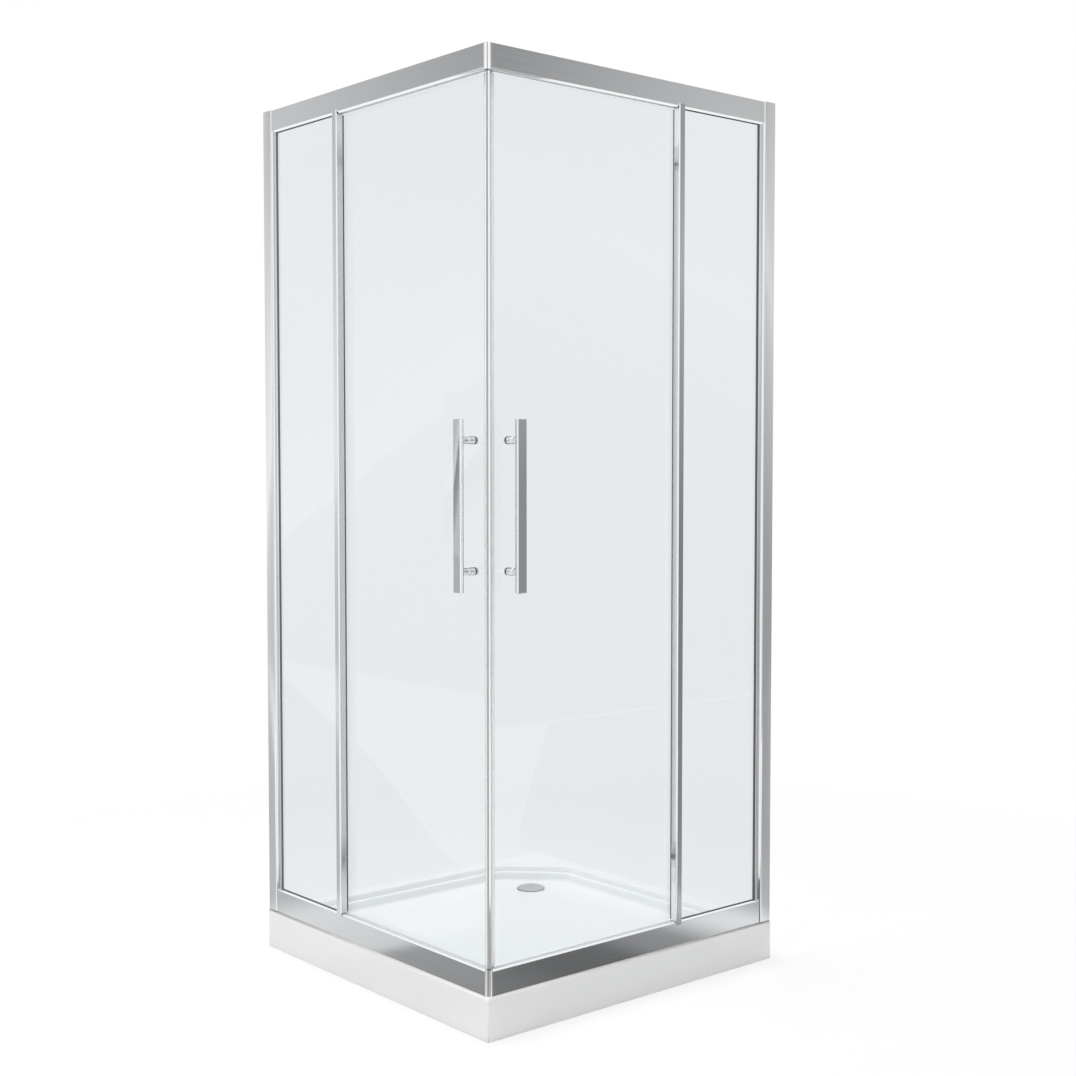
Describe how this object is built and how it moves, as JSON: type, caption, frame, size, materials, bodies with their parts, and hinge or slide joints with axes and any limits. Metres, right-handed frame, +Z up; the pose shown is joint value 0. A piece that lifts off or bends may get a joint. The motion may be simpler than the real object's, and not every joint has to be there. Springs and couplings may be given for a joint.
{
  "type": "corner shower enclosure",
  "caption": "Corner shower enclosure with glazed sides whose sliding doors meet at the entry corner, standing on a square white tray with a waste outlet in its back corner.",
  "frame": {"origin": "centre of the square tray's footprint, on the floor", "axes": "+Z up; the room walls are at -X and +Y; the doors meet at the free corner at +X -Y; the left side, seen from outside that corner, faces -Y and the right side faces +X"},
  "size_m": [0.92, 0.92, 2.11],
  "materials": {
    "white_acrylic": "glossy moulded acrylic",
    "foam": "expanded foam",
    "steel": "stainless steel",
    "black_rubber": "matt rubber",
    "dark_plastic": "moulded",
    "white_plastic": "moulded",
    "brushed_cover": "satin",
    "chrome": "polished",
    "aluminium": "polished silver anodised",
    "grey_plastic": "moulded",
    "clear_seal": "translucent flexible strip",
    "magnet_strip": "magnetic rubber strip",
    "grey_rubber": "glazing rubber",
    "white_nylon": "turned nylon",
    "glass": "clear toughened glass"
  },
  "bodies": {
    "enclosure": {"shower_tray": "white_acrylic", "tray_core": "foam", "waste_flange": "steel", "waste_gasket": "black_rubber", "waste_nut": "dark_plastic", "waste_body": "white_plastic", "top_corner_connector": "chrome", "bottom_corner_connector": "chrome", "post_screws": "steel", "groove_infills": "grey_plastic", "door_stops": "clear_seal", "left_wall_channel": "aluminium", "left_wall_post": "aluminium", "left_top_rail": "aluminium", "left_bottom_rail": "aluminium", "left_fixed_glass": "glass", "left_fixed_stile": "aluminium", "left_glazing_gasket": "grey_rubber", "left_stile_wiper": "clear_seal", "right_wall_channel": "aluminium", "right_wall_post": "aluminium", "right_top_rail": "aluminium", "right_bottom_rail": "aluminium", "right_fixed_glass": "glass", "right_fixed_stile": "aluminium", "right_glazing_gasket": "grey_rubber", "right_stile_wiper": "clear_seal"},
    "waste_lid": {"waste_cover": "brushed_cover"},
    "left_door": {"left_door_glass": "glass", "left_closing_seal": "clear_seal", "left_closing_magnet": "magnet_strip", "left_rear_seal": "clear_seal", "left_handle_bar": "chrome", "left_handle_posts": "chrome", "left_handle_caps": "chrome", "left_hanger_bolts": "chrome", "left_bottom_brackets": "grey_plastic"},
    "left_top_rear_wheel": {"left_top_rear_wheel": "white_nylon"},
    "left_rear_release": {"left_rear_release": "grey_plastic"},
    "left_bottom_rear_wheel": {"left_bottom_rear_wheel": "white_nylon"},
    "left_top_front_wheel": {"left_top_front_wheel": "white_nylon"},
    "left_front_release": {"left_front_release": "grey_plastic"},
    "left_bottom_front_wheel": {"left_bottom_front_wheel": "white_nylon"},
    "right_door": {"right_door_glass": "glass", "right_closing_seal": "clear_seal", "right_closing_magnet": "magnet_strip", "right_rear_seal": "clear_seal", "right_handle_bar": "chrome", "right_handle_posts": "chrome", "right_handle_caps": "chrome", "right_hanger_bolts": "chrome", "right_bottom_brackets": "grey_plastic"},
    "right_top_rear_wheel": {"right_top_rear_wheel": "white_nylon"},
    "right_rear_release": {"right_rear_release": "grey_plastic"},
    "right_bottom_rear_wheel": {"right_bottom_rear_wheel": "white_nylon"},
    "right_top_front_wheel": {"right_top_front_wheel": "white_nylon"},
    "right_front_release": {"right_front_release": "grey_plastic"},
    "right_bottom_front_wheel": {"right_bottom_front_wheel": "white_nylon"}
  },
  "joints": [
    {"name": "waste_cover_lift", "type": "slide", "parent": "enclosure", "child": "waste_lid", "axis": [0, 0, 1], "range_m": [0, 0.03]},
    {"name": "left_door_slide", "type": "slide", "parent": "enclosure", "child": "left_door", "axis": [-1, 0, 0], "range_m": [0, 0.25]},
    {"name": "left_top_rear_wheel_spin", "type": "hinge", "parent": "left_door", "child": "left_top_rear_wheel", "pos_m": [-0.071, -0.41, 2.0853], "axis": [0, 1, 0], "continuous": true},
    {"name": "left_rear_release_lift", "type": "slide", "parent": "left_door", "child": "left_rear_release", "axis": [0, 0, 1], "range_m": [0, 0.006], "stiffness_N_per_m": 400, "springref_m": -0.01},
    {"name": "left_bottom_rear_wheel_spin", "type": "hinge", "parent": "left_rear_release", "child": "left_bottom_rear_wheel", "pos_m": [-0.071, -0.409, 0.1153], "axis": [0, 1, 0], "continuous": true},
    {"name": "left_top_front_wheel_spin", "type": "hinge", "parent": "left_door", "child": "left_top_front_wheel", "pos_m": [0.344, -0.41, 2.0853], "axis": [0, 1, 0], "continuous": true},
    {"name": "left_front_release_lift", "type": "slide", "parent": "left_door", "child": "left_front_release", "axis": [0, 0, 1], "range_m": [0, 0.006], "stiffness_N_per_m": 400, "springref_m": -0.01},
    {"name": "left_bottom_front_wheel_spin", "type": "hinge", "parent": "left_front_release", "child": "left_bottom_front_wheel", "pos_m": [0.344, -0.409, 0.1153], "axis": [0, 1, 0], "continuous": true},
    {"name": "right_door_slide", "type": "slide", "parent": "enclosure", "child": "right_door", "axis": [0, 1, 0], "range_m": [0, 0.25]},
    {"name": "right_top_rear_wheel_spin", "type": "hinge", "parent": "right_door", "child": "right_top_rear_wheel", "pos_m": [0.41, 0.071, 2.0853], "axis": [1, 0, 0], "continuous": true},
    {"name": "right_rear_release_lift", "type": "slide", "parent": "right_door", "child": "right_rear_release", "axis": [0, 0, 1], "range_m": [0, 0.006], "stiffness_N_per_m": 400, "springref_m": -0.01},
    {"name": "right_bottom_rear_wheel_spin", "type": "hinge", "parent": "right_rear_release", "child": "right_bottom_rear_wheel", "pos_m": [0.409, 0.071, 0.1153], "axis": [1, 0, 0], "continuous": true},
    {"name": "right_top_front_wheel_spin", "type": "hinge", "parent": "right_door", "child": "right_top_front_wheel", "pos_m": [0.41, -0.344, 2.0853], "axis": [1, 0, 0], "continuous": true},
    {"name": "right_front_release_lift", "type": "slide", "parent": "right_door", "child": "right_front_release", "axis": [0, 0, 1], "range_m": [0, 0.006], "stiffness_N_per_m": 400, "springref_m": -0.01},
    {"name": "right_bottom_front_wheel_spin", "type": "hinge", "parent": "right_front_release", "child": "right_bottom_front_wheel", "pos_m": [0.409, -0.344, 0.1153], "axis": [1, 0, 0], "continuous": true}
  ],
  "couplings": [
    {"joint": "left_top_rear_wheel_spin", "follows": "left_door_slide", "rad_per_m": -100},
    {"joint": "left_bottom_rear_wheel_spin", "follows": "left_door_slide", "rad_per_m": -125},
    {"joint": "left_top_front_wheel_spin", "follows": "left_door_slide", "rad_per_m": -100},
    {"joint": "left_bottom_front_wheel_spin", "follows": "left_door_slide", "rad_per_m": -125},
    {"joint": "right_top_rear_wheel_spin", "follows": "right_door_slide", "rad_per_m": -100},
    {"joint": "right_bottom_rear_wheel_spin", "follows": "right_door_slide", "rad_per_m": -125},
    {"joint": "right_top_front_wheel_spin", "follows": "right_door_slide", "rad_per_m": -100},
    {"joint": "right_bottom_front_wheel_spin", "follows": "right_door_slide", "rad_per_m": -125}
  ]
}
